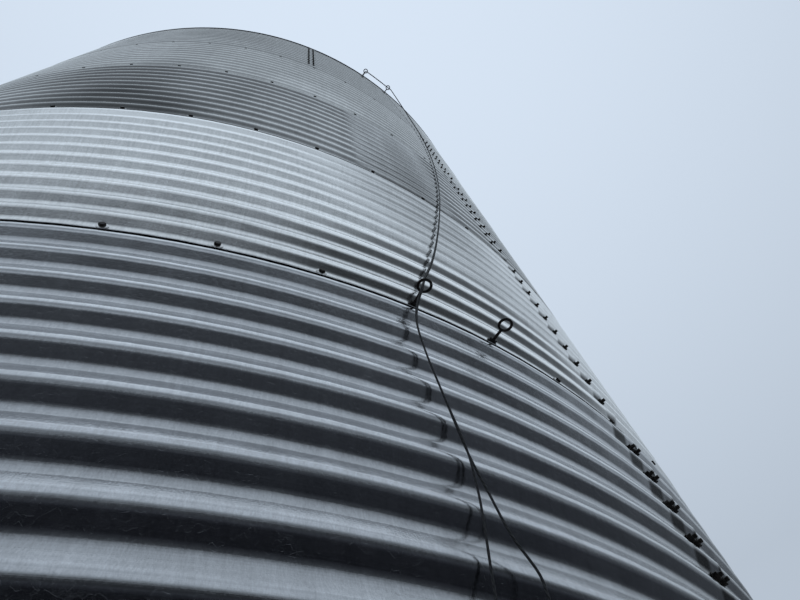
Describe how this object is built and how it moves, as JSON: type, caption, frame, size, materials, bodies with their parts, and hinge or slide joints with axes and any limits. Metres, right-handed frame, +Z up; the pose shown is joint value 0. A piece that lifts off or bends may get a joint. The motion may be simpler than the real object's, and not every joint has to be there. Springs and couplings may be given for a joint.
{
  "type": "grain silo",
  "caption": "Round corrugated galvanised steel grain silo: bolted rings of curved sheets, ribbed cone roof, lidded peak hole and a control line led down through eye bolts",
  "frame": {"origin": "centre of the base circle, at ground level", "axes": "+Z up along the silo's axis, -Y is the front that the picture shows, +X to its right"},
  "size_m": [4.9804, 4.9804, 8.1476],
  "materials": {
    "galvanised_wall": "galvanised, corrugated, satin with spangle",
    "galvanised_roof": "galvanised, satin",
    "dark_steel": "weathered black steel",
    "black_cord": "laid cord, matt"
  },
  "bodies": {
    "root": {"wall_ring_1_sheet_a": "galvanised_wall", "wall_ring_1_sheet_b": "galvanised_wall", "wall_ring_1_sheet_c": "galvanised_wall", "wall_ring_1_sheet_d": "galvanised_wall", "wall_ring_2_sheet_a": "galvanised_wall", "wall_ring_2_sheet_b": "galvanised_wall", "wall_ring_2_sheet_c": "galvanised_wall", "wall_ring_2_sheet_d": "galvanised_wall", "wall_ring_3_sheet_a": "galvanised_wall", "wall_ring_3_sheet_b": "galvanised_wall", "wall_ring_3_sheet_c": "galvanised_wall", "wall_ring_3_sheet_d": "galvanised_wall", "wall_ring_4_sheet_a": "galvanised_wall", "wall_ring_4_sheet_b": "galvanised_wall", "wall_ring_4_sheet_c": "galvanised_wall", "wall_ring_4_sheet_d": "galvanised_wall", "wall_ring_5_sheet_a": "galvanised_wall", "wall_ring_5_sheet_b": "galvanised_wall", "wall_ring_5_sheet_c": "galvanised_wall", "wall_ring_5_sheet_d": "galvanised_wall", "wall_ring_6_sheet_a": "galvanised_wall", "wall_ring_6_sheet_b": "galvanised_wall", "wall_ring_6_sheet_c": "galvanised_wall", "wall_ring_6_sheet_d": "galvanised_wall", "roof_sector_1": "galvanised_roof", "roof_sector_2": "galvanised_roof", "roof_sector_3": "galvanised_roof", "roof_sector_4": "galvanised_roof", "roof_sector_5": "galvanised_roof", "roof_sector_6": "galvanised_roof", "roof_sector_7": "galvanised_roof", "roof_sector_8": "galvanised_roof", "peak_collar": "galvanised_roof", "peak_lid": "galvanised_roof", "base_ring_a": "galvanised_wall", "base_ring_b": "galvanised_wall", "base_ring_c": "galvanised_wall", "base_ring_d": "galvanised_wall", "seam_eye_bolt_left": "dark_steel", "seam_eye_bolt_right": "dark_steel", "eave_eye_bolt_left": "dark_steel", "eave_eye_bolt_right": "dark_steel", "lid_lever": "dark_steel", "lid_line": "black_cord"}
  },
  "joints": []
}
